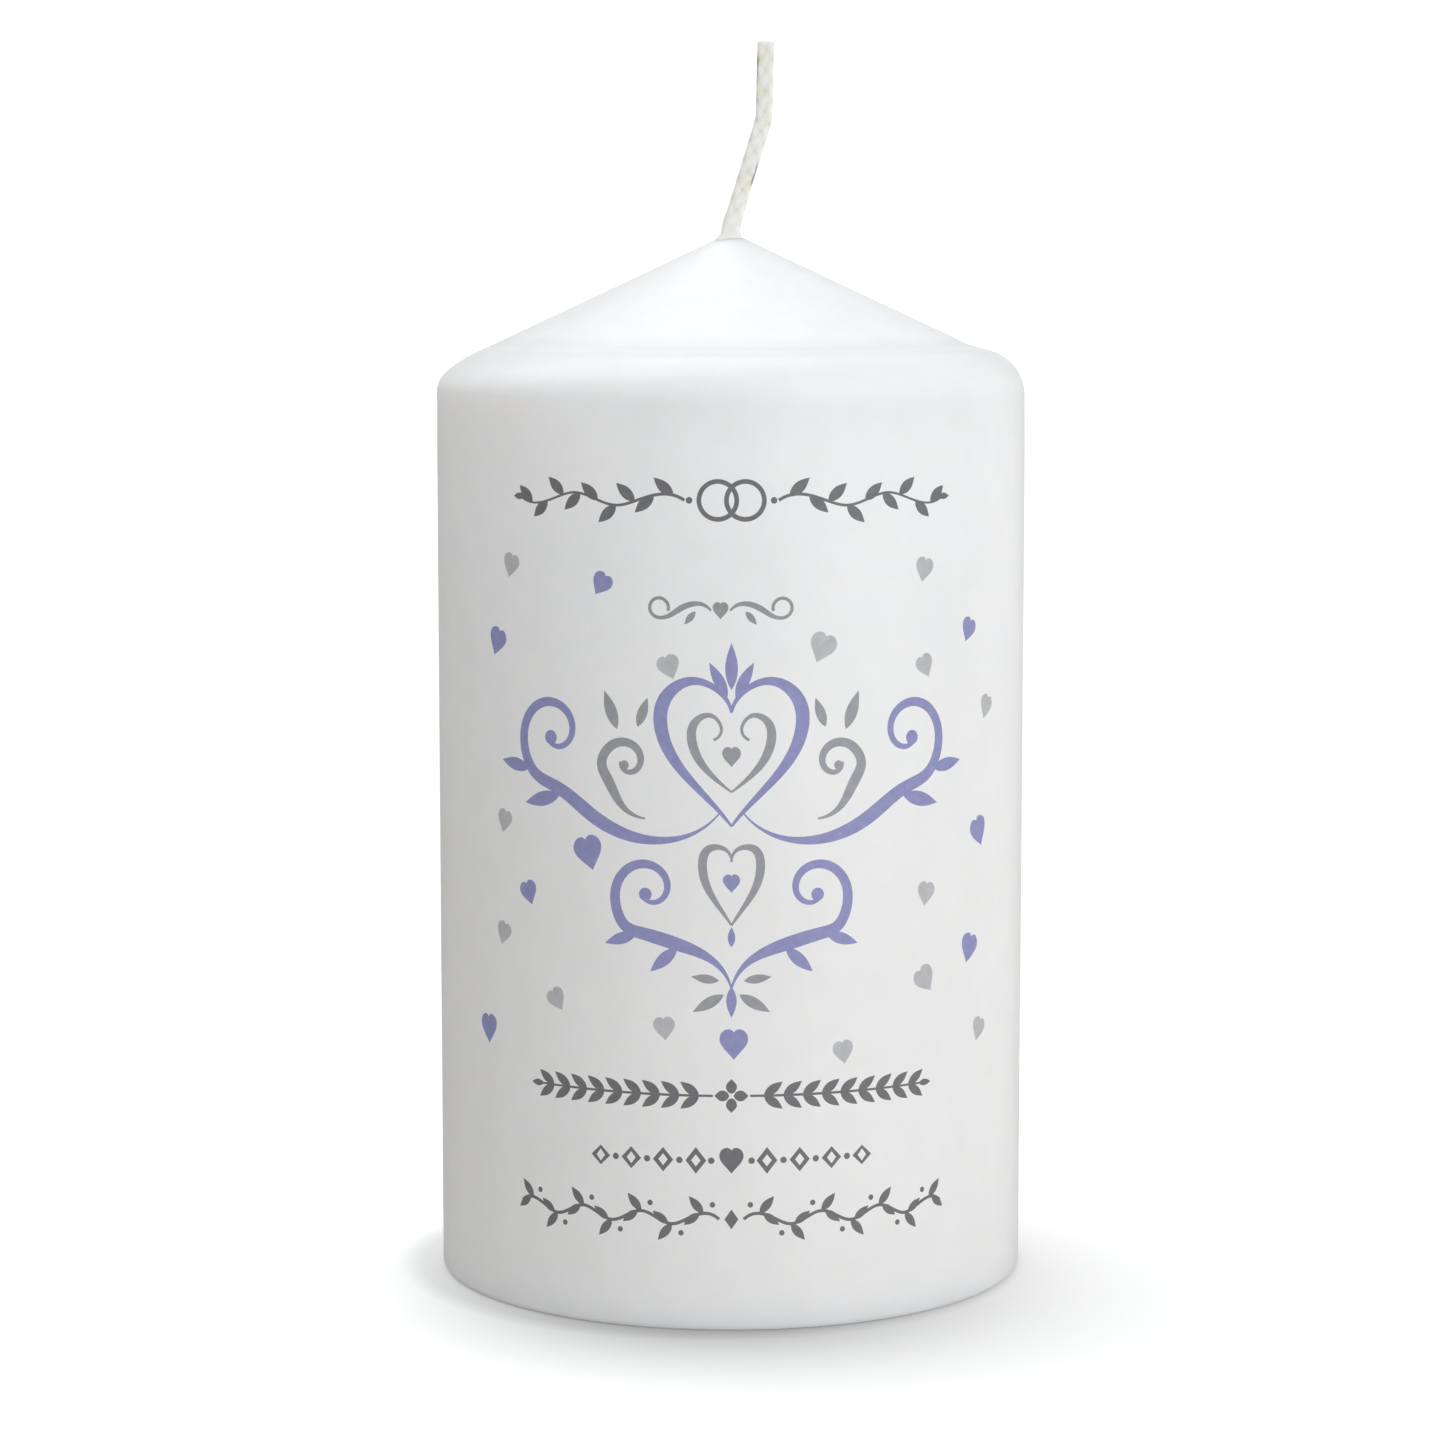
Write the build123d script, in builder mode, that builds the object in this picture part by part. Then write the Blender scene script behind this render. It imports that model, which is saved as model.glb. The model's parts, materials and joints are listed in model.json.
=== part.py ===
from build123d import *
import math
import os

# A printed pillar candle for a wedding table: a pressed wax core inside a dipped outer coat, a square
# braided wick held by a tin sustainer in the base, and ink ornaments round the front of the coat.
# Millimetres and degrees. The origin is the centre of the base, +Z is up, and the print faces -Y.

os.makedirs("parts", exist_ok=True)

# Body: an upright side, a rounded shoulder whose top slopes gently, then a steeper cone.
RADIUS = 40.0
APEX_HEIGHT = 141.75
CONE_SLOPE = 25.0
CREASE_RADIUS = 33.0
CREASE_ROUNDING = 4.0
SHOULDER_SLOPE = 13.0
SHOULDER_ROUNDING = 6.3
FOOT_ROUNDING = 0.8
COAT = 1.5

# Wick: a waxed square braid. The bare part bends at its root and at a fold.
WICK = 2.3
WICK_CORNER = 0.5
WICK_RUN_TOP = 141.3
COLLAR_RADIUS = 1.66
COLLAR_FOOT_RADIUS = 2.1
COLLAR_ROUNDING = 0.6
BEND_CLEARANCE = 0.1
FOLD_X = 4.45
FOLD_Z = 157.0
TIP_LEAN = 1.3
TIP_LENGTH = 10.05

# Base: a round recess with the sustainer against its roof, sealed by a poured wax plug.
RECESS_RADIUS = 12.5
RECESS_DEPTH = 1.6
PLUG_SETBACK = 0.4
DISC_RADIUS = 10.0
TIN = 0.25
NECK_HEIGHT = 8.0

# Print: a thin layer of ink on the coat. Places on it are (s, z), with s measured round the coat
# from the middle of the front and z the height above the base.
INK = 0.05
TOP_ROW_Z = 107.6
RING_RADIUS = 2.4
RING_OFFSET = 1.75
SPRIG_START = 6.0
SPRIG_WAVE = 12.0
SPRIG_SWAY = 0.75
LEAF_PITCH = 2.55
DIVIDER_CENTRE = (-1.4, 93.6)
LAUREL_Z = 31.0
DIAMOND_Z = 22.5
DIAMOND_PITCH = 4.3
VINE_Z = 14.8
VINE_PITCH = 4.1
VINE_SWAY = 0.75

# Scattered hearts: s, z, height and tilt. A positive tilt swings the point to the right.
LILAC_HEARTS = [
    (-17.2, 96.7, 3.1, -32), (-34.8, 88.4, 3.7, -20), (35.4, 89.9, 3.2, -24),
    (-19.1, 61.9, 4.5, 16), (38.2, 63.0, 4.0, 20), (-28.8, 55.9, 3.2, 20),
    (36.0, 47.7, 3.9, -18), (-37.2, 36.8, 3.9, 3), (0.3, 37.7, 4.0, 0),
]
GREY_HEARTS = [
    (-31.9, 98.5, 3.2, -16), (26.8, 98.2, 3.2, -14), (-8.0, 86.3, 3.2, 20),
    (11.7, 88.7, 3.9, -22), (27.1, 85.7, 3.1, 24), (39.8, 79.4, 3.2, -22),
    (-33.5, 64.9, 3.1, -14), (27.4, 55.9, 3.2, -10), (-33.8, 50.0, 3.1, -18),
    (-24.1, 42.3, 3.1, 34), (27.4, 44.6, 3.7, 34), (-8.7, 39.6, 3.1, 6),
    (14.8, 36.2, 3.1, 8), (38.4, 36.5, 3.2, -22),
]

# Outlines of the two repeated motifs, as fractions of their length or height.
LEAF_EDGE = [(0, 0), (0.28, 0.42), (0.55, 0.46), (0.8, 0.26), (1, 0)]
HEART_EDGE = [(0, 0.4), (0.2, 0.5), (0.39, 0.39), (0.46, 0.17), (0.31, -0.14), (0, -0.5)]

ROOT_Z = WICK_RUN_TOP + WICK / 2 + BEND_CLEARANCE
STEM_LEAN = math.degrees(math.atan2(FOLD_X, FOLD_Z - ROOT_Z))
STEM_LENGTH = math.hypot(FOLD_X, FOLD_Z - ROOT_Z) - WICK / 2 - BEND_CLEARANCE
DISC_Z = RECESS_DEPTH - TIN
NECK = WICK + 2 * TIN
ROUNDINGS = [FOOT_ROUNDING, SHOULDER_ROUNDING, CREASE_ROUNDING, COLLAR_ROUNDING]
SIDES = (1, -1)


def slope(angle):
    """Rise over run of a line at this angle."""
    return math.tan(math.radians(angle))


def cone_height(radius, inset=0.0):
    """Height of the cone at a radius, on the surface moved in by inset."""
    return APEX_HEIGHT - radius * slope(CONE_SLOPE) - inset / math.cos(math.radians(CONE_SLOPE))


def shoulder_height(radius, inset=0.0):
    """Height of the shoulder's top at a radius, on the surface moved in by inset."""
    above_crease = (CREASE_RADIUS - radius) * slope(SHOULDER_SLOPE)
    inset_rise = inset / math.cos(math.radians(SHOULDER_SLOPE))
    return cone_height(CREASE_RADIUS) + above_crease - inset_rise


def side_corners(inset):
    """Section corners of the side and shoulder, before rounding, moved in by inset."""
    side = RADIUS - inset
    rise = cone_height(0, inset) - shoulder_height(0, inset)
    crease = rise / (slope(CONE_SLOPE) - slope(SHOULDER_SLOPE))
    return [
        (side, 0),
        (side, shoulder_height(side, inset)),
        (crease, cone_height(crease, inset)),
    ]


def core_section(mode=Mode.ADD):
    """Half of the core's upright section, which is also the inside of the coat."""
    foot, *corners = side_corners(COAT)
    apex = (0, cone_height(0, COAT))
    with BuildLine() as section:
        FilletPolyline(foot, *corners, apex, radius=[SHOULDER_ROUNDING - COAT, CREASE_ROUNDING])
        Polyline(apex, (0, 0), foot)
    make_face(section.edges(), mode=mode)


def wick_section(plane, length, mode=Mode.ADD):
    """The wick's square section, extruded along the plane's normal."""
    with BuildSketch(plane) as section:
        RectangleRounded(WICK, WICK, WICK_CORNER)
    extrude(section.sketch, amount=length, mode=mode)


def bare_wick(pivot, lean, length):
    """A straight length of bare wick with a half-round lower end about its pivot."""
    across = (math.cos(math.radians(lean)), 0, -math.sin(math.radians(lean)))
    along = (math.sin(math.radians(lean)), 0, math.cos(math.radians(lean)))
    wick_section(Plane(pivot, across, along).offset(-WICK), WICK + length)
    with BuildSketch(Plane(pivot, across, (0, -1, 0))) as side_view:
        Circle(WICK / 2)
        Rectangle(WICK, length, align=(Align.CENTER, Align.MIN))
    extrude(side_view.sketch, amount=WICK, both=True, mode=Mode.INTERSECT)


def on_front(s, z):
    """The place (s, z) on the coat, as seen straight from the front."""
    return (RADIUS * math.sin(s / RADIUS), z)


def placed(centre, angle, points):
    """Points turned by angle and moved to centre."""
    turn = math.radians(angle)
    return [
        (
            centre[0] + x * math.cos(turn) - y * math.sin(turn),
            centre[1] + x * math.sin(turn) + y * math.cos(turn),
        )
        for x, y in points
    ]


def outline(*runs):
    """A face whose edge is runs of (s, z) points, straight for two points and smooth for more."""
    with BuildLine() as edge:
        for run in runs:
            points = [on_front(*point) for point in run]
            if len(points) == 2:
                Line(*points)
            else:
                Spline(*points)
    make_face(edge.edges())


def dot(centre, radius):
    """A round dot."""
    with Locations(on_front(*centre)):
        Ellipse(radius * math.cos(centre[0] / RADIUS), radius)


def leaf(base, angle, length, width):
    """A pointed leaf that grows from base."""
    upper = placed(base, angle, [(x * length, y * width) for x, y in LEAF_EDGE])
    lower = placed(base, angle, [(x * length, -y * width) for x, y in reversed(LEAF_EDGE)])
    outline(upper, lower)


def paired_leaf(base, angle, length, width):
    """The same leaf on both sides of the middle."""
    for side in SIDES:
        leaf((side * base[0], base[1]), angle if side > 0 else 180 - angle, length, width)


def heart(centre, height, tilt=0):
    """A heart with a shallow notch."""
    right = placed(centre, tilt, [(x * height, y * height) for x, y in HEART_EDGE])
    left = placed(centre, tilt, [(-x * height, y * height) for x, y in reversed(HEART_EDGE)])
    outline(right, left)


def diamond(centre, half_width, half_height, mode=Mode.ADD):
    """An upright diamond."""
    with BuildLine() as edge:
        Polyline(
            on_front(centre[0] - half_width, centre[1]),
            on_front(centre[0], centre[1] + half_height),
            on_front(centre[0] + half_width, centre[1]),
            on_front(centre[0], centre[1] - half_height),
            close=True,
        )
    make_face(edge.edges(), mode=mode)


def stroke(points):
    """A pen stroke through (s, z, width) points, with its width changing smoothly."""
    path = Edge.make_spline([Vector(*point) for point in points])
    left, right = [], []
    steps = 3 * len(points)
    for step in range(steps + 1):
        here = path @ (step / steps)
        ahead = path % (step / steps)
        half = here.Z / 2 / math.hypot(ahead.X, ahead.Y)
        left.append((here.X - ahead.Y * half, here.Y + ahead.X * half))
        right.append((here.X + ahead.Y * half, here.Y - ahead.X * half))
    right.reverse()
    outline(left, [left[-1], right[0]], right, [right[-1], left[0]])


def paired_stroke(points, middle=0.0):
    """The same stroke on both sides of the line s = middle."""
    for side in SIDES:
        stroke([(middle + side * s, z, width) for s, z, width in points])


def curl(centre, radii, angles, widths, count=12):
    """Points of a spiral that tightens from the first radius to the second."""
    points = []
    for step in range(count):
        part = step / (count - 1)
        radius = radii[0] * (radii[1] / radii[0]) ** part
        angle = math.radians(angles[0] + (angles[1] - angles[0]) * part)
        width = widths[0] + (widths[1] - widths[0]) * part
        points.append(
            (centre[0] + radius * math.cos(angle), centre[1] + radius * math.sin(angle), width)
        )
    return points


def half_ring(centre, radius, width, start):
    """Half of a finger ring, from the start angle on."""
    angles = (start, start + 180)
    stroke(curl(centre, (radius, radius), angles, (width, width), count=9))


def sprig_sway(along):
    """How far a sprig's stem is above its row, this far along the stem."""
    return SPRIG_SWAY * math.sin(2 * math.pi * along / SPRIG_WAVE)


def print_on_coat():
    """Turns the sketch on the front plane into a layer of ink on the coat."""
    extrude(amount=RADIUS + 1)
    with BuildSketch() as layer:
        Circle(RADIUS + INK)
        Circle(RADIUS, mode=Mode.SUBTRACT)
    extrude(layer.sketch, amount=APEX_HEIGHT, mode=Mode.INTERSECT)


# ---- Wax, sustainer and wick ----

with BuildPart() as wax_core:
    with BuildSketch(Plane.XZ):
        core_section()
    revolve(axis=Axis.Z)
    wick_section(Plane.XY, APEX_HEIGHT, mode=Mode.SUBTRACT)
    with BuildSketch():
        Circle(RECESS_RADIUS)
    extrude(amount=RECESS_DEPTH, mode=Mode.SUBTRACT)
    with BuildSketch(Plane.XY.offset(RECESS_DEPTH)):
        RectangleRounded(NECK, NECK, WICK_CORNER + TIN)
    extrude(amount=NECK_HEIGHT, mode=Mode.SUBTRACT)

with BuildPart() as overdip_coat:
    with BuildSketch(Plane.XZ):
        with BuildLine():
            outside = FilletPolyline(
                (0, 0),
                *side_corners(0),
                (COLLAR_FOOT_RADIUS, cone_height(COLLAR_FOOT_RADIUS)),
                (COLLAR_RADIUS, WICK_RUN_TOP),
                radius=ROUNDINGS,
            )
            Polyline(outside @ 1, (0, WICK_RUN_TOP), outside @ 0)
        make_face()
        core_section(mode=Mode.SUBTRACT)
    revolve(axis=Axis.Z)
    wick_section(Plane.XY, APEX_HEIGHT + WICK, mode=Mode.SUBTRACT)

with BuildPart() as wick_run:
    wick_section(Plane.XY.offset(DISC_Z), WICK_RUN_TOP - DISC_Z)

with BuildPart() as wick_stem:
    bare_wick((0, 0, ROOT_Z), STEM_LEAN, STEM_LENGTH)

with BuildPart() as wick_tip:
    bare_wick((FOLD_X, 0, FOLD_Z), TIP_LEAN, TIP_LENGTH)

with BuildPart() as wick_sustainer:
    with BuildSketch(Plane.XY.offset(DISC_Z)):
        Circle(DISC_RADIUS)
    extrude(amount=TIN)
    with BuildSketch(Plane.XY.offset(RECESS_DEPTH)):
        RectangleRounded(NECK, NECK, WICK_CORNER + TIN)
    extrude(amount=NECK_HEIGHT)
    wick_section(Plane.XY, RECESS_DEPTH + NECK_HEIGHT, mode=Mode.SUBTRACT)

with BuildPart() as base_plug:
    with BuildSketch(Plane.XY.offset(PLUG_SETBACK)):
        Circle(RECESS_RADIUS)
    extrude(amount=RECESS_DEPTH - PLUG_SETBACK)
    with BuildSketch(Plane.XY.offset(DISC_Z)):
        Circle(DISC_RADIUS)
    extrude(amount=TIN, mode=Mode.SUBTRACT)

# ---- Print: the dark grey rows ----

with BuildPart() as rings_and_sprigs:
    with BuildSketch(Plane.XZ):
        for side in SIDES:
            for start in (0, 180):
                half_ring((side * RING_OFFSET, TOP_ROW_Z), RING_RADIUS, 0.6, start)
            dot((side * 5.4, TOP_ROW_Z), 0.42)
        paired_stroke(
            [
                (SPRIG_START + along, TOP_ROW_Z + sprig_sway(along), 0.42 - 0.007 * along)
                for along in range(0, 25, 3)
            ]
        )
        for count in range(9):
            along = 1.4 + LEAF_PITCH * count
            base = (SPRIG_START + along, TOP_ROW_Z + sprig_sway(along))
            paired_leaf(base, 42 * (-1) ** count, 3.5 - 0.05 * count, 1.5)
        paired_leaf((29.3, TOP_ROW_Z), 0, 1.9, 0.9)
    print_on_coat()

with BuildPart() as laurel_row:
    with BuildSketch(Plane.XZ):
        paired_stroke([(2.4, LAUREL_Z, 0.3), (14.6, LAUREL_Z, 0.32), (27, LAUREL_Z, 0.25)])
        for count in range(9):
            for angle in (36, -36):
                paired_leaf((4.2 + LEAF_PITCH * count, LAUREL_Z), angle, 3.0, 1.25)
        paired_leaf((26.4, LAUREL_Z), 0, 2.0, 0.9)
        for angle in range(0, 360, 90):
            turn = math.radians(angle)
            leaf((0.3 * math.cos(turn), LAUREL_Z + 0.3 * math.sin(turn)), angle, 1.9, 1.5)
    print_on_coat()

with BuildPart() as diamond_row:
    with BuildSketch(Plane.XZ):
        heart((0, DIAMOND_Z), 3.4)
        for side in SIDES:
            dot((side * 2.6, DIAMOND_Z), 0.42)
            for count in range(4):
                middle = 4.6 + DIAMOND_PITCH * count
                diamond((side * middle, DIAMOND_Z), 1.35, 1.75 - 0.15 * count)
                diamond((side * middle, DIAMOND_Z), 0.62, 0.8, mode=Mode.SUBTRACT)
                if count < 3:
                    dot((side * (middle + DIAMOND_PITCH / 2), DIAMOND_Z), 0.42)
    print_on_coat()

with BuildPart() as vine_row:
    with BuildSketch(Plane.XZ):
        diamond((0, VINE_Z), 0.9, 1.3)
        paired_stroke(
            [
                (1.6 + VINE_PITCH * bend / 2, VINE_Z + VINE_SWAY * math.sin(math.pi * bend / 2), 0.42)
                for bend in range(15)
            ]
        )
        for count in range(7):
            up = (-1) ** count
            wave = 3.65 + VINE_PITCH * count
            paired_leaf((wave, VINE_Z + VINE_SWAY * up), 50 * up, 2.9, 1.2)
            paired_leaf((wave + 0.5, VINE_Z + VINE_SWAY * up), -38 * up, 2.6, 1.1)
            for side in SIDES:
                dot((side * (wave - 1.2), VINE_Z + 1.9 * up), 0.36)
    print_on_coat()

# ---- Print: the light grey divider ----

with BuildPart() as small_divider:
    middle, height = DIVIDER_CENTRE
    with BuildSketch(Plane.XZ):
        heart(DIVIDER_CENTRE, 2.2)
        paired_stroke(
            [
                (1.2, height, 0.25),
                (3.0, height + 0.9, 0.6),
                (5.2, height + 0.2, 0.75),
                (7.2, height - 0.9, 0.5),
                *curl((7.9, height + 0.35), (1.25, 1.2), (-60, 200), (0.42, 0.42), count=6),
            ],
            middle,
        )
        leaf((middle + 3.2, height - 0.1), -50, 2.2, 0.9)
        leaf((middle - 3.2, height - 0.1), 230, 2.2, 0.9)
    print_on_coat()

# ---- Print: the two large flourishes, each in lilac and grey ----

with BuildPart() as upper_flourish_lilac:
    with BuildSketch(Plane.XZ):
        paired_stroke(
            [
                (0, 80.6, 0.35), (1.7, 83.4, 0.7), (5.2, 84.6, 1.1), (8.7, 82.0, 1.75),
                (8.8, 77.4, 1.7), (5.6, 72.2, 1.1), (1.9, 68.3, 0.6), (0, 66.0, 0.3),
            ]
        )
        paired_stroke(
            [
                (1.6, 67.6, 0.2), (6, 64.6, 0.6), (12, 64.2, 1.3), (18.5, 66.8, 1.85),
                (24, 70.2, 1.7), *curl((24.2, 77.4), (6.6, 1.5), (-60, 330), (1.55, 0.5)),
            ]
        )
        for side in SIDES:
            dot((side * 24.9, 76.6), 0.95)
        paired_leaf((23.5, 69.2), -14, 6.0, 2.0)
        paired_leaf((28.6, 72.3), 8, 5.2, 1.8)
        paired_leaf((0.5, 82.6), 62, 5.0, 1.5)
        leaf((0, 83.5), 90, 6.0, 1.7)
    print_on_coat()

with BuildPart() as upper_flourish_grey:
    with BuildSketch(Plane.XZ):
        paired_stroke(
            [
                (0, 70.4, 0.25), (2.6, 72.6, 0.7), (4.9, 76.2, 1.2), (4.6, 79.4, 1.0),
                (2.6, 80.2, 0.55), (1.3, 78.6, 0.4), (2.3, 77.1, 0.35),
            ]
        )
        heart((0, 74.9), 2.6)
        paired_stroke(
            [
                (11.2, 66.8, 0.25), (14.4, 68.4, 0.9), (16.3, 71.6, 1.45),
                *curl((13.6, 74.0), (3.6, 0.9), (-5, 360), (1.35, 0.4), count=11),
            ]
        )
        for side in SIDES:
            dot((side * 14.0, 73.6), 0.6)
        paired_leaf((15.0, 78.2), 70, 5.2, 1.7)
        paired_leaf((12.2, 78.6), 110, 4.0, 1.4)
    print_on_coat()

with BuildPart() as lower_flourish_lilac:
    with BuildSketch(Plane.XZ):
        paired_stroke(
            [
                (0, 45.0, 0.25), (2.4, 48.6, 0.9), (6.8, 50.6, 1.7), (12.0, 52.0, 1.6),
                *curl((10.6, 57.6), (5.9, 1.3), (-60, 320), (1.5, 0.45)),
            ]
        )
        for side in SIDES:
            dot((side * 11.2, 57.0), 0.85)
        paired_leaf((7.0, 50.2), -42, 4.8, 1.7)
        paired_leaf((12.4, 51.8), -18, 4.6, 1.6)
        heart((0, 58.6), 2.4)
        leaf((0, 45.2), -90, 4.0, 1.4)
        leaf((0, 50.4), 90, 2.6, 1.0)
    print_on_coat()

with BuildPart() as lower_flourish_grey:
    with BuildSketch(Plane.XZ):
        paired_stroke(
            [
                (0, 61.4, 0.3), (1.2, 63.2, 0.6), (3.0, 63.0, 1.0),
                (3.7, 60.4, 1.15), (2.4, 56.8, 0.8), (0, 53.2, 0.3),
            ]
        )
        paired_leaf((1.0, 44.2), -30, 4.6, 1.5)
        paired_leaf((1.6, 46.0), 8, 3.6, 1.2)
    print_on_coat()

# ---- Print: the scattered hearts ----

with BuildPart() as hearts_lilac:
    with BuildSketch(Plane.XZ):
        for s, z, height, tilt in LILAC_HEARTS:
            heart((s, z), height, tilt)
    print_on_coat()

with BuildPart() as hearts_grey:
    with BuildSketch(Plane.XZ):
        for s, z, height, tilt in GREY_HEARTS:
            heart((s, z), height, tilt)
    print_on_coat()

PIECES = {
    "wax_core": wax_core,
    "overdip_coat": overdip_coat,
    "wick_run": wick_run,
    "wick_stem": wick_stem,
    "wick_tip": wick_tip,
    "wick_sustainer": wick_sustainer,
    "base_plug": base_plug,
    "rings_and_sprigs": rings_and_sprigs,
    "laurel_row": laurel_row,
    "diamond_row": diamond_row,
    "vine_row": vine_row,
    "small_divider": small_divider,
    "upper_flourish_lilac": upper_flourish_lilac,
    "upper_flourish_grey": upper_flourish_grey,
    "lower_flourish_lilac": lower_flourish_lilac,
    "lower_flourish_grey": lower_flourish_grey,
    "hearts_lilac": hearts_lilac,
    "hearts_grey": hearts_grey,
}
for name, piece in PIECES.items():
    piece.part.label = name
    export_step(piece.part, f"parts/{name}.step")
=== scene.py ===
"""Looks for the printed pillar candle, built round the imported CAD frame. Metres, +Z up, print towards -Y."""

import json
import math

import bpy
import numpy as np
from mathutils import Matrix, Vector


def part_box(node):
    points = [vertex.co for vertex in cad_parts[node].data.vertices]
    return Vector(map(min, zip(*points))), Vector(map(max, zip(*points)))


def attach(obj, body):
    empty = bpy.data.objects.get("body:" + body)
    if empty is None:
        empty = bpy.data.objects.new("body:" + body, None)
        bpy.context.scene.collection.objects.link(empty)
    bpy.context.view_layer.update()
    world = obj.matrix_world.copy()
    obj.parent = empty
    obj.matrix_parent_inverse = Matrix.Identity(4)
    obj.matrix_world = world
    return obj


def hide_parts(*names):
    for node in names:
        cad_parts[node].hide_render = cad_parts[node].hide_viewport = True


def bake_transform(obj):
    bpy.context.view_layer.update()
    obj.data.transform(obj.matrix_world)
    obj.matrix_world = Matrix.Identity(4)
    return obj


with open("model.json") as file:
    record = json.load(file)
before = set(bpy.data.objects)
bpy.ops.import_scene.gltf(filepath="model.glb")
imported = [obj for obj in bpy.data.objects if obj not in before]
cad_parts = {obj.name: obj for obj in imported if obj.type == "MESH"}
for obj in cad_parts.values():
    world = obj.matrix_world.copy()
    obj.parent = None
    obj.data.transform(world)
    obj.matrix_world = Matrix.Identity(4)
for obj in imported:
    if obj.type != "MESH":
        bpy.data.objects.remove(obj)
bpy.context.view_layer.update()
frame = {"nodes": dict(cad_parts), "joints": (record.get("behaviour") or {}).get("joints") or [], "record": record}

MM = 0.001
coat_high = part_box("overdip_coat")[1]
RADIUS = coat_high.x
COAT_TOP = coat_high.z

# Camera: a little above the candle's shoulder, tipped down.
CAMERA_PLACE = (-0.00115, -0.537, 0.135)
CAMERA_DIP = 6.39
LENS = 97.9
SENSOR = 36.0

# Suns: name, strength, spread, elevation, azimuth and colour. Azimuth 0 shines from the front, 90 from
# the right and 180 from behind.
SUNS = [
    ("top_light", 1.44, 60, 66, -132, (0.955, 0.977, 1.0)),
    ("side_light", 0.88, 50, 15, 44, (1.0, 1.0, 1.0)),
    ("back_light", 0.22, 80, 38, -150, (1.0, 1.0, 1.0)),
    ("right_light", 0.22, 40, 2, 130, (1.0, 1.0, 1.0)),
]

# Room: the light from all round, which grows from the back left to the front right. The camera sees
# the backdrop instead.
ROOM_BRIGHT_SIDE = (0.46, -0.87, 0.17)
ROOM_DARK = (0.28, 0.268, 0.242)
ROOM_BRIGHT = (0.775, 0.782, 0.795)
BACKDROP = 1.1

# Floor: a round sheet just under the candle, with a shadow painted into its colour. SHADE is (distance,
# tone) round a place forward of the candle's axis, and the painted contact shade is a narrow ring round its foot.
FLOOR = 0.16
FLOOR_DROP = 0.00005
FLOOR_GLOW = 0.07
SHADE_CENTRE = (-0.003, -0.022, 0)
SHADE_REACH = 0.08
SHADE = ((0.019, 0.52), (0.026, 0.66), (0.033, 0.78), (0.042, 0.9), (0.052, 0.97), (0.062, 1.0))
CONTACT_CENTRE = (-0.0027, -0.001, 0)
CONTACT_SHADE = 0.82
CONTACT_REACH = 0.0035

# Coat: its section follows the CAD coat's. Raised, the shoulder has a groove and a low bead at the
# crease. Plain, the cone runs on to a rounding. The coat is plain on the side that PLAIN_SIDE sets.
APEX = 141.75 * MM
CONE_SLOPE = math.tan(math.radians(25.0))
CREASE_RADIUS = 33.0 * MM
SHOULDER_ANGLE = 13.0
SHOULDER_ROUNDING = 6.3 * MM
FOOT_ROUNDING = 0.8 * MM
COAT = 1.5 * MM
BEAD_RADIUS = 31.0 * MM
BEAD_HEIGHT = 0.12 * MM
BEAD_RUN = 0.9 * MM
GROOVE_OUT = 1.1 * MM
GROOVE_DEPTH = 0.14 * MM
PLAIN_RADIUS = 34.4 * MM
PLAIN_DROP = 2.6 * MM
PLAIN_SIDE = math.radians(12)
RIM_REACH = 0.62
AXIS = 0.02 * MM
ROOT_RADII = (1.2 * MM, 2.0 * MM, 2.9 * MM)

# Unevenness: faint on the side, and more from above the print up to the cone, where it fades out.
UNEVEN_SIDE = 0.02 * MM
UNEVEN_TOP = 0.07 * MM
UNEVEN_ABOVE_PRINT = 8 * MM
UNEVEN_BELOW_TOP = 6 * MM
PRINT_TOP = 112.0 * MM
COAT_COLUMNS = 288

# The coat's hidden inside, as (radius, height) from the foot up. It is deep, so that light spreads in it.
INSIDE = [
    (RADIUS - COAT, 0),
    (RADIUS - COAT, 0.5 * MM),
    (0.4 * RADIUS, 3 * MM),
    (0.2 * RADIUS, 20 * MM),
    (0.2 * RADIUS, 100 * MM),
    (AXIS, 112 * MM),
]

# The wax's tone by height, with painted light and shade in it: lighter high on the side, painted shade
# over the shoulder's rounding and in a thin ring just above the crease, and bluer towards the top for
# cooler light from above. Columns: share of the height, level, and blue added.
TONE_AND_PAINTED_LIGHT_BY_HEIGHT = [
    (0.4, 0.93, -0.003),
    (0.8, 0.972, 0.012),
    (0.86, 0.913, 0.015),
    (0.878, 0.866, 0.015),
    (0.8895, 0.87, 0.015),
    (0.8912, 0.91, 0.015),
    (0.893, 0.9, 0.015),
    (0.895, 0.873, 0.016),
    (0.8975, 0.873, 0.016),
    (0.902, 0.93, 0.018),
]

# Painted light on the upper left side under the shoulder: share of the height and strength, from
# PAINTED_LIGHT_LEFT_FROM out to PAINTED_LIGHT_LEFT_TO.
PAINTED_LIGHT_LEFT_HEIGHTS = [(0.7, 0.0), (0.8, 1.0), (0.835, 1.0), (0.865, 0.0)]
PAINTED_LIGHT_LEFT_COLOUR = (0.97, 0.97, 0.975)
PAINTED_LIGHT_LEFT_FROM = -12 * MM
PAINTED_LIGHT_LEFT_TO = -30 * MM

# How far red, green and blue spread in wax, each against the furthest.
WAX_SCATTER = (1.0, 0.92, 0.82)

# Wick: its two bends are the record's two hinges. The root's curve is 2 BEND long and the fold's 1.6.
ROOT = np.array(frame["joints"][0]["pos_m"])
FOLD = np.array(frame["joints"][1]["pos_m"])
WICK_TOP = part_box("wick_tip")[1].z
WICK_HALF = 1.15 * MM
WICK_START = 139.3 * MM
BEND = 0.9 * MM
TIP_LEAN = math.radians(1.3)

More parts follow.
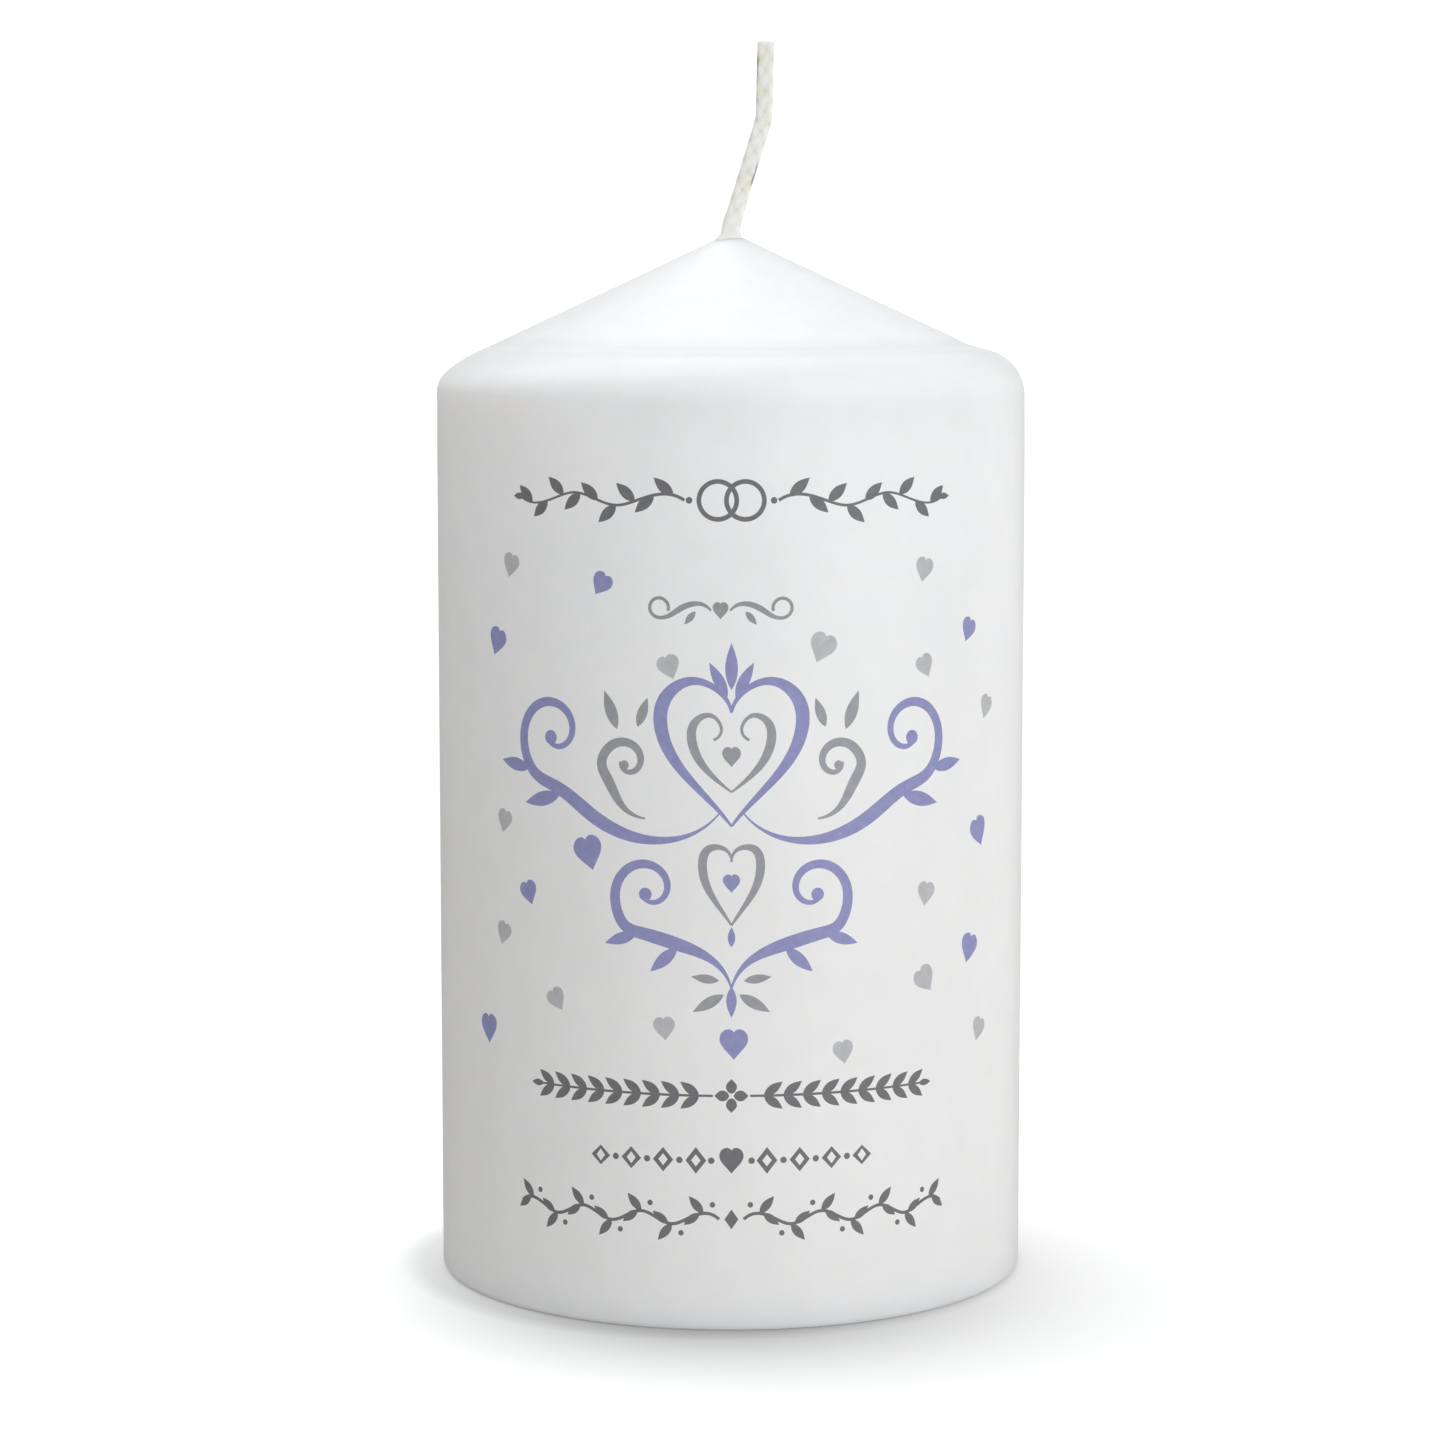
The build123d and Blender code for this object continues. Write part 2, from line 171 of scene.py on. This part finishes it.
# Braid: four strands wind each way round a square section, with its gaps filled with wax near the root.
SQUARENESS = 4.5
STRANDS = 4
BRAID_LEAD = 11.0 * MM
BRAID_COLUMNS = 96
BRAID_STEP = 0.06 * MM
STRAND_WIDTH = 0.97
STRAND_HEIGHT = 0.62
STRAND_LIFT = 0.3
YARNS = 4
YARN_HEIGHT = 0.05
PLAIT_DEPTH = 0.14 * MM
PLAIT_AT_ROOT = 0.45
CLEAR_FROM = 2.0 * MM
CLEAR_OVER = 5.0 * MM
FILL = 0.62
FILL_LOSS = 0.37
ROOT_SWELL = 0.16 * MM
FLARE = 1.1 * MM
FLARE_TOP = COAT_TOP + 1.5 * MM
FLARE_HEIGHT = 2.6 * MM
FLARE_EVEN = 0.62

# A braid's end closes over rings, given as shares of its rim. The top is crowned and frayed, in mm.
END_RINGS = (0.93, 0.8, 0.62, 0.42, 0.2, 0.04)
END_RELIEF = 0.7
END_CROWN = 0.16
END_FRAY = 0.05

# Marks on the bare wick, in mm from its top. A stain is (place, half length). A dark speck of painted
# shade is (share of a turn, place, half length).
STAINS = ((1.6, 1.1), (6.6, 0.9), (10.6, 0.35), (19.5, 1.2))
STAIN_TINT = (0.95, 0.93, 0.78)
PAINTED_SHADE_SPECKS = ((0.6, 3.2, 1.3), (0.885, 17.6, 1.4))
PAINTED_SPECK_WIDTH = 0.022
PAINTED_SPECK_COLOUR = (0.07, 0.065, 0.06)

INKS = {
    "dark_grey_ink": (0.156, 0.157, 0.162),
    "light_grey_ink": (0.30, 0.305, 0.315),
    "mid_grey_ink": (0.32, 0.325, 0.35),
    "pale_grey_ink": (0.485, 0.488, 0.505),
    "lilac_ink": (0.268, 0.277, 0.512),
}


def smooth(value):
    """Eases from 0 to 1 as value goes from 0 to 1."""
    value = np.clip(value, 0.0, 1.0)
    return value * value * (3 - 2 * value)


# ---- Node trees ----


class Tree:
    """A node tree, with short calls for the nodes used here."""

    def __init__(self, tree):
        self.tree = tree

    def node(self, kind, **values):
        """A new node. Each value goes to the setting of that name, or else to the input."""
        made = self.tree.nodes.new(kind)
        for key, value in values.items():
            if hasattr(made, key):
                setattr(made, key, value)
            else:
                made.inputs[key.replace("_", " ")].default_value = value
        return made

    def link(self, source, target):
        self.tree.links.new(source, target)

    def feed(self, value, target):
        """Links an output to target, or sets a plain number or (r, g, b) colour on it."""
        if isinstance(value, bpy.types.NodeSocket):
            self.link(value, target)
        elif isinstance(value, tuple):
            target.default_value = (*value, 1)
        else:
            target.default_value = value

    def mix(self, factor, first, second, blend="MIX"):
        """Two colours mixed. Inputs 0, 6 and 7 and output 2 are the colour ones."""
        made = self.node("ShaderNodeMix", data_type="RGBA", blend_type=blend)
        self.feed(factor, made.inputs[0])
        self.feed(first, made.inputs[6])
        self.feed(second, made.inputs[7])
        return made.outputs[2]

    def product(self, first, second):
        made = self.node("ShaderNodeMath", operation="MULTIPLY")
        self.link(first, made.inputs[0])
        self.link(second, made.inputs[1])
        return made.outputs[0]

    def against(self, operation, place, vector):
        """The dot product or distance of a place and a fixed vector."""
        made = self.node("ShaderNodeVectorMath", operation=operation)
        self.link(place, made.inputs[0])
        made.inputs[1].default_value = vector
        return made.outputs["Value"]

    def ramp(self, source, stops):
        """A colour ramp from (place, colour) stops. A plain number is a grey."""
        made = self.node("ShaderNodeValToRGB")
        elements = made.color_ramp.elements
        while len(elements) < len(stops):
            elements.new(0.5)
        for element, (place, colour) in zip(elements, stops):
            element.position = place
            element.color = (*colour, 1) if isinstance(colour, tuple) else (colour, colour, colour, 1)
        self.link(source, made.inputs["Fac"])
        return made.outputs["Color"]

    def spread(self, source, low, high, new_low, new_high):
        """A value moved from one range to another."""
        made = self.node("ShaderNodeMapRange")
        for key, value in zip(("From Min", "From Max", "To Min", "To Max"), (low, high, new_low, new_high)):
            made.inputs[key].default_value = value
        self.link(source, made.inputs["Value"])
        return made.outputs["Result"]


class Shader(Tree):
    """A material."""

    def __init__(self, name, colour, roughness, **inputs):
        self.material = bpy.data.materials.new(name)
        self.material.use_nodes = True
        super().__init__(self.material.node_tree)
        self.bsdf = self.tree.nodes["Principled BSDF"]
        self.bsdf.inputs["Base Color"].default_value = (*colour, 1)
        self.bsdf.inputs["Roughness"].default_value = roughness
        for key, value in inputs.items():
            self.bsdf.inputs[key.replace("_", " ")].default_value = value
        self.place = self.node("ShaderNodeTexCoord").outputs["Object"]

    def set(self, key, source):
        self.link(source, self.bsdf.inputs[key])

    def stretched(self, factors):
        """Object coordinates scaled along each axis."""
        mapping = self.node("ShaderNodeMapping", Scale=factors)
        self.link(self.place, mapping.inputs["Vector"])
        return mapping.outputs[0]

    def noise(self, scale, detail=2.0, rough=0.5, place=None):
        """Noise with this many waves to the metre."""
        made = self.node("ShaderNodeTexNoise", Scale=scale, Detail=detail, Roughness=rough)
        self.link(place or self.place, made.inputs["Vector"])
        return made.outputs["Fac"]

    def painted(self, name):
        """A value that the mesh holds at each point."""
        return self.node("ShaderNodeAttribute", attribute_name=name).outputs["Fac"]

    def bump(self, height, strength, distance, below=None):
        """Bump, stacked on the bump below it."""
        made = self.node("ShaderNodeBump", Strength=strength, Distance=distance)
        self.link(height, made.inputs["Height"])
        if below is not None:
            self.link(below, made.inputs["Normal"])
        return made.outputs["Normal"]


# ---- Camera, light and floor ----


def make_camera():
    data = bpy.data.cameras.new("camera")
    data.lens = LENS
    data.sensor_width = SENSOR
    camera = bpy.data.objects.new("camera", data)
    camera.location = CAMERA_PLACE
    camera.rotation_euler = (math.radians(90.0 - CAMERA_DIP), 0, 0)
    bpy.context.scene.collection.objects.link(camera)
    bpy.context.scene.camera = camera


def make_world():
    """White behind the object, and a room round it that is brighter to the front right."""
    world = bpy.data.worlds.new("studio")
    world.use_nodes = True
    world.node_tree.nodes.clear()
    tree = Tree(world.node_tree)
    direction = tree.node("ShaderNodeTexCoord").outputs["Generated"]
    towards = tree.against("DOT_PRODUCT", direction, ROOM_BRIGHT_SIDE)
    graded = tree.spread(towards, -1.0, 1.0, 0.0, 1.0)
    room = tree.node("ShaderNodeBackground")
    tree.link(tree.mix(graded, ROOM_DARK, ROOM_BRIGHT), room.inputs["Color"])
    backdrop = tree.node("ShaderNodeBackground", Color=(1, 1, 1, 1), Strength=BACKDROP)
    path = tree.node("ShaderNodeLightPath")
    seen = tree.node("ShaderNodeMixShader")
    output = tree.node("ShaderNodeOutputWorld")
    tree.link(path.outputs["Is Camera Ray"], seen.inputs[0])
    tree.link(room.outputs[0], seen.inputs[1])
    tree.link(backdrop.outputs[0], seen.inputs[2])
    tree.link(seen.outputs[0], output.inputs["Surface"])
    bpy.context.scene.world = world


def make_sun(name, strength, spread, elevation, azimuth, colour):
    data = bpy.data.lights.new(name, "SUN")
    data.energy = strength
    data.angle = math.radians(spread)
    data.color = colour
    light = bpy.data.objects.new(name, data)
    light.rotation_euler = (math.radians(90.0 - elevation), 0, math.radians(azimuth))
    bpy.context.scene.collection.objects.link(light)


def make_floor():
    """A round sheet of white paper, whose colour is darkened by a painted shadow round the candle's foot. The
    backdrop takes over beyond its edge.
    """
    mesh = bpy.data.meshes.new("floor")
    turns = np.linspace(0, 2 * math.pi, 96, endpoint=False)
    rim = [(FLOOR * math.cos(a), FLOOR * math.sin(a), -FLOOR_DROP) for a in turns]
    mesh.from_pydata(rim, [], [tuple(range(len(rim)))])
    floor = bpy.data.objects.new("floor", mesh)
    bpy.context.scene.collection.objects.link(floor)
    paper = Shader("floor_paper", (1, 1, 1), 1.0, Specular_IOR_Level=0.0, Emission_Strength=FLOOR_GLOW)
    paper.bsdf.inputs["Emission Color"].default_value = (1, 1, 1, 1)
    # Painted shadow: the paper's colour darkens round a place forward of the candle, and in a narrow ring at its
    # foot.
    away = paper.against("DISTANCE", paper.place, SHADE_CENTRE)
    share = paper.spread(away, 0.0, SHADE_REACH, 0.0, 1.0)
    shade = paper.ramp(share, [(reach / SHADE_REACH, tone) for reach, tone in SHADE])
    from_foot = paper.against("DISTANCE", paper.place, CONTACT_CENTRE)
    contact = paper.spread(from_foot, RADIUS, RADIUS + CONTACT_REACH, CONTACT_SHADE, 1.0)
    paper.set("Base Color", paper.mix(1.0, shade, contact, "MULTIPLY"))
    mesh.materials.append(paper.material)
    floor.visible_diffuse = False
    floor.visible_glossy = False


# ---- Materials ----


def coat_wax():
    """Dipped wax: satin, faintly mottled, with soft vertical runs and fine grain. Its colour holds painted light
    and shade by height, and painted light on the upper left side.
    """
    shader = Shader(
        "coat_wax", (0.9, 0.9, 0.89), 0.42, IOR=1.44,
        Subsurface_Weight=1.0, Subsurface_Radius=WAX_SCATTER, Subsurface_Scale=0.005,
    )
    mottle = shader.noise(160, detail=5, rough=0.6)
    tone = shader.ramp(mottle, [(0.3, (0.915, 0.915, 0.908)), (0.7, (0.945, 0.945, 0.942))])
    parts = shader.node("ShaderNodeSeparateXYZ")
    shader.link(shader.place, parts.inputs[0])
    share = shader.spread(parts.outputs["Z"], 0.0, APEX, 0.0, 1.0)
    # Painted light and shade by height: lighter high on the side, darker over the shoulder and in a thin ring
    # above the crease, bluer on top.
    tone_and_painted_light = shader.ramp(share, [
        (place, (level - blue, level, level + blue)) for place, level, blue in TONE_AND_PAINTED_LIGHT_BY_HEIGHT
    ])
    clear = shader.mix(1.0, tone, tone_and_painted_light, "MULTIPLY")
    # Painted light: the colour turns lighter on the left side under the shoulder.
    beside = shader.spread(parts.outputs["X"], PAINTED_LIGHT_LEFT_FROM, PAINTED_LIGHT_LEFT_TO, 0.0, 1.0)
    left_painted_light = shader.product(beside, shader.ramp(share, PAINTED_LIGHT_LEFT_HEIGHTS))
    shader.set("Base Color", shader.mix(left_painted_light, clear, PAINTED_LIGHT_LEFT_COLOUR))
    shader.set("Roughness", shader.spread(shader.noise(420, detail=3), 0.3, 0.7, 0.36, 0.47))
    runs = shader.bump(shader.noise(1.0, place=shader.stretched((260, 260, 45))), 0.25, 0.0004)
    grain = shader.bump(shader.noise(1500, detail=3, rough=0.6), 0.12, 0.00012, runs)
    shader.set("Normal", grain)
    return shader.material


def pressed_wax(name, colour, roughness):
    """Pressed or poured wax: matt, with a crystal grain."""
    shader = Shader(
        name, colour, roughness, IOR=1.44,
        Subsurface_Weight=0.4, Subsurface_Radius=WAX_SCATTER, Subsurface_Scale=0.001,
    )
    crystals = shader.node("ShaderNodeTexVoronoi", Scale=900.0)
    shader.link(shader.place, crystals.inputs["Vector"])
    darker = tuple(0.93 * part for part in colour)
    shader.set("Base Color", shader.ramp(crystals.outputs["Distance"], [(0.1, colour), (0.8, darker)]))
    grain = shader.bump(crystals.outputs["Distance"], 0.3, 0.0002)
    shader.set("Normal", shader.bump(shader.noise(2500, detail=4), 0.2, 0.0001, grain))
    return shader.material


def ink(name, colour):
    """Printed ink: nearly flat colour, slightly uneven where the wax shows through."""
    shader = Shader(name, colour, 0.46, IOR=1.46)
    lighter = tuple(min(1.0, part * 1.08 + 0.01) for part in colour)
    darker = tuple(part * 0.95 for part in colour)
    cover = shader.noise(900, detail=4, rough=0.65)
    shader.set("Base Color", shader.ramp(cover, [(0.35, darker), (0.7, lighter)]))
    shader.set("Roughness", shader.spread(shader.noise(1600), 0.3, 0.7, 0.4, 0.52))
    shader.set("Normal", shader.bump(shader.noise(3000, detail=3), 0.15, 0.00005))
    return shader.material


def wick_cotton():
    """Cotton braid soaked in wax: off-white, with yellow stains, painted shade in the braid's gaps and two dark
    specks of painted shade.
    """
    shader = Shader(
        "wick_cotton", (0.82, 0.8, 0.74), 0.55, IOR=1.44,
        Subsurface_Weight=0.4, Subsurface_Radius=(1.0, 0.9, 0.7), Subsurface_Scale=0.0004,
    )
    relief = shader.painted("relief")
    # Painted shade: the braid is darker and yellower in its gaps, where the relief is low.
    cotton_and_gap_shade = shader.ramp(relief, [
        (0.0, (0.62, 0.59, 0.51)), (0.4, (0.82, 0.81, 0.77)), (1.0, (0.9, 0.9, 0.885)),
    ])
    patches = shader.spread(shader.noise(330, detail=3, rough=0.6), 0.42, 0.62, 0.25, 1.0)
    stain = shader.product(patches, shader.painted("stain"))
    stained = shader.mix(stain, cotton_and_gap_shade, STAIN_TINT, "MULTIPLY")
    # Painted shade: the two dark specks on the wick.
    shader.set("Base Color", shader.mix(shader.painted("painted_specks"), stained, PAINTED_SPECK_COLOUR))
    shader.set("Roughness", shader.spread(relief, 0.0, 1.0, 0.4, 0.62))
    shader.set("Normal", shader.bump(shader.noise(5000, detail=4, rough=0.7), 0.35, 0.00006))
    return shader.material


def tinplate():
    """Pressed tinplate with fine rolling marks."""
    shader = Shader("tinplate", (0.62, 0.62, 0.6), 0.32, Metallic=1.0)
    marks = shader.noise(1.0, place=shader.stretched((300, 9000, 9000)))
    shader.set("Roughness", shader.spread(marks, 0.3, 0.7, 0.24, 0.42))
    shader.set("Normal", shader.bump(marks, 0.1, 0.00002))
    return shader.material


# ---- Meshes ----


def link_mesh(name, verts, faces, material):
    mesh = bpy.data.meshes.new(name)
    mesh.from_pydata([tuple(map(float, v)) for v in verts], [], faces)
    mesh.polygons.foreach_set("use_smooth", [True] * len(faces))
    mesh.materials.append(material)
    made = bpy.data.objects.new(name, mesh)
    bpy.context.scene.collection.objects.link(made)
    return made


def band(one, other, columns):
    """Faces between two rings of points, which are given as row numbers."""
    return [
        (
            one * columns + column,
            one * columns + (column + 1) % columns,
            other * columns + (column + 1) % columns,
            other * columns + column,
        )
        for column in range(columns)
    ]


def arc(centre, radius, start, end, count):
    """Section points on an arc, angles in degrees from straight out."""
    angles = np.radians(np.linspace(start, end, count))
    return np.c_[centre[0] + radius * np.cos(angles), centre[1] + radius * np.sin(angles)]


def run(start, end, count):
    """Section points on a straight run, without its last point."""
    return np.linspace(start, end, count, endpoint=False)


def bezier(start, corner, end, count):
    """Section points on a curve that leaves start and reaches end along the lines to corner."""
    part = np.linspace(0, 1, count)[:, None]
    return (1 - part) ** 2 * start + 2 * part * (1 - part) * corner + part ** 2 * end


def cone(radius):
    """The section's point on the cone at a radius."""
    return np.array((radius, APEX - radius * CONE_SLOPE))


def raised_shoulder():
    """Section from the cone over the groove, bead and shoulder down to the side."""
    fall = math.tan(math.radians(SHOULDER_ANGLE))
    crease = cone(CREASE_RADIUS)
    turn = 90 - SHOULDER_ANGLE
    corner_z = crease[1] - (RADIUS - CREASE_RADIUS) * fall
    back = SHOULDER_ROUNDING * math.tan(math.radians(turn / 2))
    curve = arc((RADIUS - SHOULDER_ROUNDING, corner_z - back), SHOULDER_ROUNDING, turn, 0, 44)
    groove = cone(BEAD_RADIUS + GROOVE_OUT) - (0, GROOVE_DEPTH)
    bead = crease + (0, BEAD_HEIGHT)
    after = crease + (BEAD_RUN, -BEAD_RUN * fall)
    middle = (groove + bead) / 2
    return np.vstack([
        bezier(cone(BEAD_RADIUS), groove, middle, 9)[:-1],
        bezier(middle, bead, after, 13)[:-1],
        run(after, curve[0], 6),
        curve,
    ])


def plain_shoulder():
    """The same stretch without groove or bead, with as many points."""
    leaves, corner = cone(PLAIN_RADIUS), cone(RADIUS)
    curve = bezier(leaves, corner, corner - (0, PLAIN_DROP), 44)
    return np.vstack([run(cone(BEAD_RADIUS), leaves, 26), curve])


def outside_section(shoulder):
    """Outside of the coat, from the axis over the cone down to the foot. Its rows are closer at the wick."""
    tip, middle, outer = (cone(radius) for radius in ROOT_RADII)
    near_wick = bezier(tip, middle, outer, 12)[:-1]
    upper = np.vstack([(AXIS, tip[1]), near_wick, run(outer, cone(BEAD_RADIUS), 60), shoulder])
    foot = (RADIUS - FOOT_ROUNDING, FOOT_ROUNDING)
    side = run(upper[-1], (RADIUS, FOOT_ROUNDING), 150)[1:]
    return np.vstack([upper, side, arc(foot, FOOT_ROUNDING, 0, -90, 9)])


def waves(angle, height, seed, amount=6):
    """Smooth unevenness between -1 and 1 over the coat."""
    draw = np.random.default_rng(seed)
    total = np.zeros(np.broadcast(angle, height).shape)
    for _ in range(amount):
        turns = draw.integers(1, 7)
        length = draw.uniform(25, 90) * MM
        phase = draw.uniform(0, 2 * math.pi)
        total += np.cos(turns * angle + 2 * math.pi * height / length + phase)
    return total / amount


def make_coat(material):
    """The dipped coat as a closed shell. The rim on its shoulder fades out towards the left."""
    angles = np.linspace(0, 2 * math.pi, COAT_COLUMNS, endpoint=False)
    raised = outside_section(raised_shoulder())
    plain = outside_section(plain_shoulder())
    rim = smooth(RIM_REACH + RIM_REACH * np.cos(angles + PLAIN_SIDE))[None, :, None]
    outside = raised[:, None] * rim + plain[:, None] * (1 - rim)
    height = outside[:, :, 1]
    above_print = smooth((height - PRINT_TOP) / UNEVEN_ABOVE_PRINT)
    below_top = smooth((COAT_TOP - height) / UNEVEN_BELOW_TOP)
    depth = UNEVEN_SIDE + UNEVEN_TOP * above_print * below_top
    radius = outside[:, :, 0] - depth * (1 + waves(angles[None, :], height, seed=7))
    rows = [(radius[i], height[i]) for i in range(len(outside))]
    rows += [(np.full(COAT_COLUMNS, r), np.full(COAT_COLUMNS, z)) for r, z in INSIDE]
    verts = [
        (r * math.cos(a), r * math.sin(a), z)
        for radii, heights in rows
        for r, z, a in zip(radii, heights, angles)
    ]
    last = len(rows) - 1
    columns = range(COAT_COLUMNS)
    faces = [tuple(columns), tuple(last * COAT_COLUMNS + column for column in reversed(columns))]
    for row in range(last):
        faces += [(a, d, c, b) for a, b, c, d in band(row, row + 1, COAT_COLUMNS)]
    coat = link_mesh("coat", verts, faces, material)
    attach(coat, "candle")
    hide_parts("overdip_coat")


def wick_line():
    """The wick's centre line: distances, places and leans at even steps, from in the cone to the tip."""
    lean = math.atan2(FOLD[0] - ROOT[0], FOLD[2] - ROOT[2])
    root_at = ROOT[2] - WICK_START
    fold_at = root_at + math.hypot(FOLD[0] - ROOT[0], FOLD[2] - ROOT[2])
    length = fold_at + (WICK_TOP - FOLD[2]) / math.cos(TIP_LEAN)
    count = int(length / BRAID_STEP)
    along = np.linspace(0, length, count + 1)
    angle = lean * smooth((along - root_at) / (2 * BEND) + 0.5)
    angle += (TIP_LEAN - lean) * smooth((along - fold_at) / (1.6 * BEND) + 0.5)
    step = length / count
    middle = (angle[1:] + angle[:-1]) / 2
    x = np.r_[0, np.cumsum(np.sin(middle))] * step
    z = WICK_START + np.r_[0, np.cumsum(np.cos(middle))] * step
    return along, x, z, angle


def braid_relief(turn, along):
    """Height of a plaited surface, 0 in the gaps and 1 on the strands that lie on top."""
    left = STRANDS * (turn + along / BRAID_LEAD)
    right = STRANDS * (turn - along / BRAID_LEAD)
    over = np.sin(math.pi * left) * np.sin(math.pi * right)

    def strand(place, lift):
        part = place - np.floor(place)
        across = 2 * np.abs(part - 0.5)
        round_top = np.sqrt(np.clip(1 - (across / STRAND_WIDTH) ** 2, 0, 1))
        yarns = YARN_HEIGHT * np.cos(2 * math.pi * YARNS * part)
        return STRAND_HEIGHT * round_top + STRAND_LIFT * lift * round_top + yarns * round_top

    one, other = strand(left, over), strand(right, -over)
    soft = 0.06
    top = np.maximum(one, other)
    return top + soft * np.log(np.exp((one - top) / soft) + np.exp((other - top) / soft))


def braid_marks(turn, from_top, filled):
    """What the braid's material reads at each point, as one array for each name."""
    stain = sum(np.exp(-((from_top - middle) / half) ** 2) for middle, half in STAINS)
    # Two dark specks of painted shade, stronger in the braid's gaps.
    painted_specks = sum(
        np.exp(-((turn - side) / PAINTED_SPECK_WIDTH) ** 2 - ((from_top - middle) / half) ** 4)
        for side, middle, half in PAINTED_SHADE_SPECKS
    )
    return {
        "relief": filled,
        "stain": np.broadcast_to(stain, filled.shape),
        "painted_specks": painted_specks * smooth(1.6 - filled),
    }


def end_rings(rim, lean, frayed):
    """Rings that close a braid's end, from its rim in towards the middle."""
    draw = np.random.default_rng(3)
    centre = rim.mean(axis=0)
    outward = np.array((math.sin(lean), 0, math.cos(lean)))
    rings = []
    for share in END_RINGS:
        ring = centre + (rim - centre) * share
        if frayed:
            fray = END_CROWN * math.sqrt(1 - share ** 2) + draw.normal(0, END_FRAY, BRAID_COLUMNS)
            ring = ring + outward * (fray * MM)[:, None]
        rings.append(ring[None])
    return rings


def end_faces(rim, first, upward):
    """Faces that close a braid's end, from its rim's row over the rings that start at row first."""
    rows = [rim, *range(first, first + len(END_RINGS))]
    faces = []
    for outer, inner in zip(rows, rows[1:]):
        faces += band(outer, inner, BRAID_COLUMNS) if upward else band(inner, outer, BRAID_COLUMNS)
    cap = [rows[-1] * BRAID_COLUMNS + column for column in range(BRAID_COLUMNS)]
    faces.append(tuple(cap if upward else reversed(cap)))
    return faces


def make_braid(name, first, last, line, material, cap_top):
    """A stretch of the waxed braid, from step first to step last of the line, closed at both ends."""
    along, x, z, angle = (values[first:last + 1, None] for values in line)
    turn = (np.arange(BRAID_COLUMNS) / BRAID_COLUMNS)[None, :]
    around = 2 * math.pi * turn
    corners = np.abs(np.cos(around)) ** SQUARENESS + np.abs(np.sin(around)) ** SQUARENESS
    clear = smooth((along - CLEAR_FROM) / CLEAR_OVER)
    filled = np.maximum(braid_relief(turn, along), FILL - FILL_LOSS * clear)
    plait = PLAIT_DEPTH * (1 - filled) * (PLAIT_AT_ROOT + (1 - PLAIT_AT_ROOT) * clear)
    swell = ROOT_SWELL * (1 - clear)
    wider_left = FLARE_EVEN - (1 - FLARE_EVEN) * np.cos(around)
    flare = FLARE * wider_left * smooth((FLARE_TOP - z) / FLARE_HEIGHT) ** 2.5
    radius = WICK_HALF * corners ** (-1 / SQUARENESS) + swell - plait + flare
    across, deep = radius * np.cos(around), radius * np.sin(around)
    verts = np.stack([x + across * np.cos(angle), deep, z - across * np.sin(angle)], axis=-1)
    rows, caps = len(verts), len(END_RINGS)
    faces = []
    for row in range(rows - 1):
        faces += band(row, row + 1, BRAID_COLUMNS)
    faces += end_faces(rows - 1, rows, True) + end_faces(0, rows + caps, False)
    top_rings = end_rings(verts[-1], angle[-1, 0], cap_top)
    root_rings = end_rings(verts[0], angle[0, 0], False)
    body = np.concatenate([verts, *top_rings, *root_rings])
    braid = link_mesh(name, body.reshape(-1, 3), faces, material)
    for key, values in braid_marks(turn, (line[0][-1] - along) / MM, filled).items():
        worn = END_RELIEF if key == "relief" else 1.0
        ends = [np.repeat(values[[row]] * worn, caps, axis=0) for row in (-1, 0)]
        attribute = braid.data.attributes.new(key, "FLOAT", "POINT")
        attribute.data.foreach_set("value", np.concatenate([values, *ends]).ravel().astype(np.float32))
    mark_rims(braid.data, rows)
    return braid


def mark_rims(mesh, rows):
    """Keeps the edges round a braid's two ends sharp."""
    rims = ({0}, {rows - 1})
    for edge in mesh.edges:
        ends = {vertex // BRAID_COLUMNS for vertex in edge.vertices}
        if ends in rims:
            edge.use_edge_sharp = True


def make_wick(material):
    """The bare wick as two stretches of braid that meet halfway between the bends."""
    line = wick_line()
    steps = len(line[0]) - 1
    middle_z = (ROOT[2] + FOLD[2]) / 2
    seam = int(np.argmin(np.abs(line[2] - middle_z)))
    lower = make_braid("braid_lower", 0, seam, line, material, cap_top=False)
    upper = make_braid("braid_upper", seam, steps, line, material, cap_top=True)
    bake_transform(lower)
    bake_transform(upper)
    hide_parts("wick_stem")
    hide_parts("wick_tip")


def finish_cad_nodes():
    """Gives every CAD node its slot's material. Ink casts no shade into the wax under it."""
    slots = {entry["node"]: entry["material_slot"] for entry in frame["record"]["subparts"]}
    finishes = {name: ink(name, colour) for name, colour in INKS.items()}
    finishes["core_wax"] = pressed_wax("core_wax", (0.88, 0.88, 0.86), 0.62)
    finishes["plug_wax"] = pressed_wax("plug_wax", (0.86, 0.86, 0.82), 0.5)
    finishes["wick"] = wick_cotton()
    finishes["tinplate"] = tinplate()
    finishes["coat_wax"] = coat_wax()
    for node, piece in frame["nodes"].items():
        piece.data.materials.clear()
        piece.data.materials.append(finishes[slots[node]])
        if slots[node] in INKS:
            piece.visible_shadow = False
            piece.visible_diffuse = False
    return finishes


make_camera()
make_world()
for sun in SUNS:
    make_sun(*sun)
make_floor()
bpy.context.scene.view_settings.view_transform = "Standard"
finishes = finish_cad_nodes()
make_coat(finishes["coat_wax"])
make_wick(finishes["wick"])
